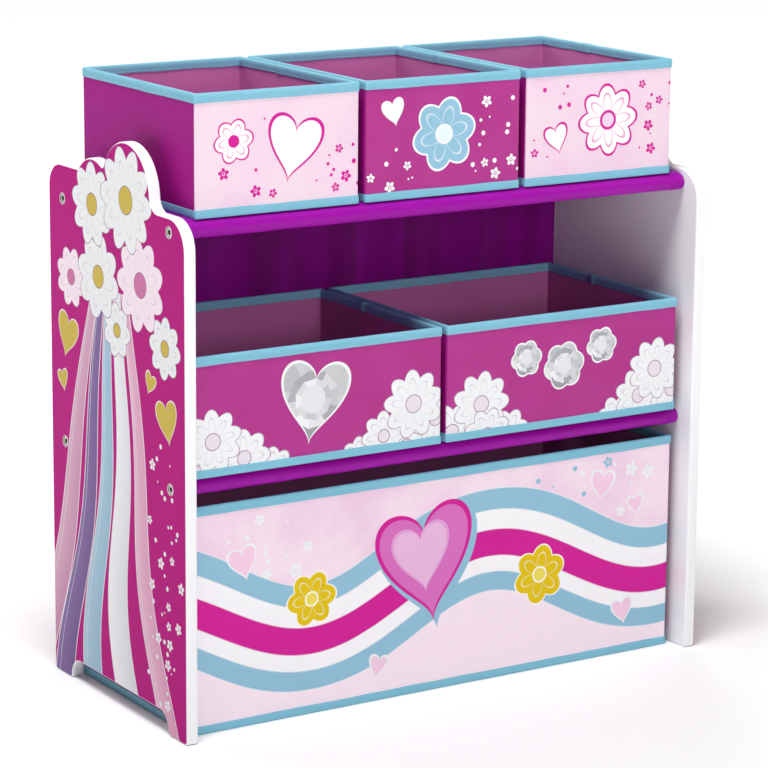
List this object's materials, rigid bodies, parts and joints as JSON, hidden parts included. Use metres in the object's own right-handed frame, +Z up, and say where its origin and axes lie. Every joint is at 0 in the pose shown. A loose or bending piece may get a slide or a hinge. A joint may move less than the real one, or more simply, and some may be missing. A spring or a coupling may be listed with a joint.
{
  "type": "toy storage organizer",
  "caption": "Free-standing toy organizer: cloud-topped side panels, rod-carried fabric shelves and three rows of open fabric bins that lift out or pull forward.",
  "frame": {"origin": "on the floor under the middle of the organizer, at the bottom centre of its bounding box", "axes": "+X to the organizer's right as seen from the front, +Y to its back, +Z up"},
  "size_m": [0.605, 0.278, 0.6164],
  "materials": {
    "painted_board": "satin white paint on fibreboard; the outer face carries a magenta print",
    "bolt_steel": "zinc-plated socket-head screws",
    "insert_brass": "turned threaded insert",
    "rod_wood": "bare dowel",
    "shelf_hardboard": "hardboard",
    "shelf_cloth": "purple satin polyester",
    "back_cloth": "dark purple polyester",
    "front_pale_pink": "printed polyester",
    "front_magenta": "printed polyester",
    "bin_wrap": "plain purple non-woven",
    "bin_lining": "dusty pink non-woven",
    "bin_board": "stiff grey board",
    "bin_binding": "folded light-blue tape"
  },
  "bodies": {
    "frame": {"left_side_panel": "painted_board", "right_side_panel": "painted_board", "left_panel_bolts": "bolt_steel", "right_panel_bolts": "bolt_steel", "rod_end_inserts": "insert_brass", "upper_front_rod": "rod_wood", "upper_back_rod": "rod_wood", "lower_front_rod": "rod_wood", "lower_back_rod": "rod_wood", "upper_shelf_board": "shelf_hardboard", "lower_shelf_board": "shelf_hardboard", "upper_shelf_cover": "shelf_cloth", "lower_shelf_cover": "shelf_cloth", "back_cloth": "back_cloth"},
    "top_left_bin": {"top_left_bin_front_panel": "front_pale_pink", "top_left_bin_wrap": "bin_wrap", "top_left_bin_lining": "bin_lining", "top_left_bin_wall_boards": "bin_board", "top_left_bin_base_board": "bin_board", "top_left_bin_top_binding": "bin_binding", "top_left_bin_bottom_binding": "bin_binding"},
    "top_middle_bin": {"top_middle_bin_front_panel": "front_magenta", "top_middle_bin_wrap": "bin_wrap", "top_middle_bin_lining": "bin_lining", "top_middle_bin_wall_boards": "bin_board", "top_middle_bin_base_board": "bin_board", "top_middle_bin_top_binding": "bin_binding", "top_middle_bin_bottom_binding": "bin_binding"},
    "top_right_bin": {"top_right_bin_front_panel": "front_pale_pink", "top_right_bin_wrap": "bin_wrap", "top_right_bin_lining": "bin_lining", "top_right_bin_wall_boards": "bin_board", "top_right_bin_base_board": "bin_board", "top_right_bin_top_binding": "bin_binding", "top_right_bin_bottom_binding": "bin_binding"},
    "middle_left_bin": {"middle_left_bin_front_panel": "front_magenta", "middle_left_bin_wrap": "bin_wrap", "middle_left_bin_lining": "bin_lining", "middle_left_bin_wall_boards": "bin_board", "middle_left_bin_base_board": "bin_board", "middle_left_bin_top_binding": "bin_binding", "middle_left_bin_bottom_binding": "bin_binding"},
    "middle_right_bin": {"middle_right_bin_front_panel": "front_magenta", "middle_right_bin_wrap": "bin_wrap", "middle_right_bin_lining": "bin_lining", "middle_right_bin_wall_boards": "bin_board", "middle_right_bin_base_board": "bin_board", "middle_right_bin_top_binding": "bin_binding", "middle_right_bin_bottom_binding": "bin_binding"},
    "bottom_bin": {"bottom_bin_front_panel": "front_pale_pink", "bottom_bin_wrap": "bin_wrap", "bottom_bin_lining": "bin_lining", "bottom_bin_wall_boards": "bin_board", "bottom_bin_base_board": "bin_board", "bottom_bin_top_binding": "bin_binding", "bottom_bin_bottom_binding": "bin_binding"}
  },
  "joints": [
    {"name": "top_left_bin_lift", "type": "slide", "parent": "frame", "child": "top_left_bin", "axis": [0, 0, 1], "range_m": [0, 0.13]},
    {"name": "top_middle_bin_lift", "type": "slide", "parent": "frame", "child": "top_middle_bin", "axis": [0, 0, 1], "range_m": [0, 0.13]},
    {"name": "top_right_bin_lift", "type": "slide", "parent": "frame", "child": "top_right_bin", "axis": [0, 0, 1], "range_m": [0, 0.13]},
    {"name": "middle_left_bin_pull", "type": "slide", "parent": "frame", "child": "middle_left_bin", "axis": [0, -1, 0], "range_m": [0, 0.25]},
    {"name": "middle_right_bin_pull", "type": "slide", "parent": "frame", "child": "middle_right_bin", "axis": [0, -1, 0], "range_m": [0, 0.25]},
    {"name": "bottom_bin_pull", "type": "slide", "parent": "frame", "child": "bottom_bin", "axis": [0, -1, 0], "range_m": [0, 0.26]}
  ]
}
